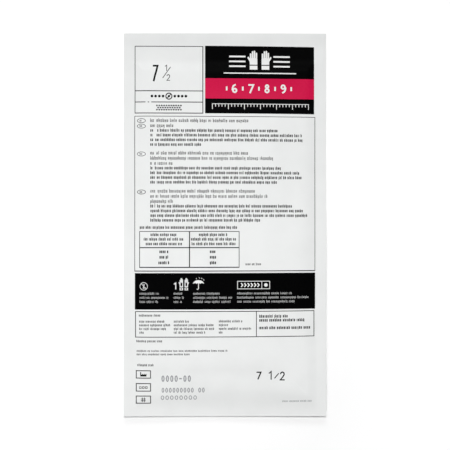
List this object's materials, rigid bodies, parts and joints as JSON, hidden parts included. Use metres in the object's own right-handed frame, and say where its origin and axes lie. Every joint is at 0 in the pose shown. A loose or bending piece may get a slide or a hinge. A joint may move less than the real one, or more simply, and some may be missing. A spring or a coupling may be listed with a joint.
{
  "type": "sealed surgical glove packet",
  "caption": "Flat sealed paper packet lying printed face up, with heat-sealed rims, a peel lip at its head, and a pair of surgical gloves in a folded paper wallet inside.",
  "frame": {"origin": "on the surface that the packet lies on, under the middle of its outline", "axes": "+Y towards the head of the print, along the packet's length; +Z out of the printed face; +X to the right of the print"},
  "size_m": [0.148, 0.28, 0.0056],
  "materials": {
    "printed_paper": "smooth coated paper, printed in black, grey and crimson",
    "plain_paper": "smooth coated paper, unprinted",
    "wallet_paper": "thin matt paper",
    "latex": "matt textured latex"
  },
  "bodies": {
    "root": {"front_web": "printed_paper", "back_web": "plain_paper", "inner_wallet": "wallet_paper", "glove_left": "latex", "glove_right": "latex"}
  },
  "joints": []
}
